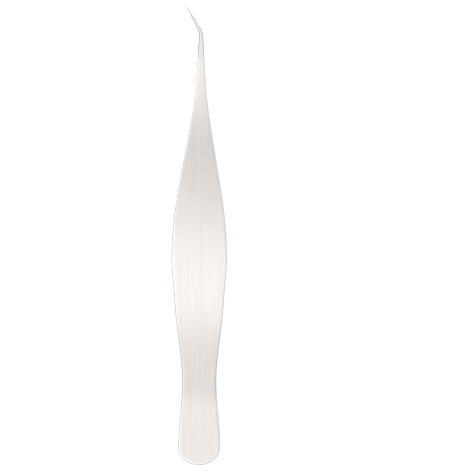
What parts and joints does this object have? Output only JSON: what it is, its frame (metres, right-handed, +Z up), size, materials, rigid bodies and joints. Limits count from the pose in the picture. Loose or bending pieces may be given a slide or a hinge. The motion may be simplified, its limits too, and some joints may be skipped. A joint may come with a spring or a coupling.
{
  "type": "curved tweezers",
  "caption": "Slim steel tweezers with wide bowed arms, a rounded heel and needle points bent to one side, lying flat.",
  "frame": {"origin": "on the bench, under the middle of the tweezers' box as they lie", "axes": "+Y from the heel to the points, +X to the right seen from above, +Z up from the bench"},
  "size_m": [0.0144, 0.1202, 0.0141],
  "materials": {
    "steel": "satin, fine grain along the arms, polished edges"
  },
  "bodies": {
    "lower": {"lower_arm": "steel"},
    "upper": {"upper_arm": "steel"}
  },
  "joints": [
    {"name": "squeeze", "type": "hinge", "parent": "lower", "child": "upper", "pos_m": [0, -0.04703, 0.00252], "axis": [-1, 0, 0], "range_deg": [0, 3.8], "stiffness_Nm_per_rad": 1.2, "springref_deg": -0.17}
  ]
}
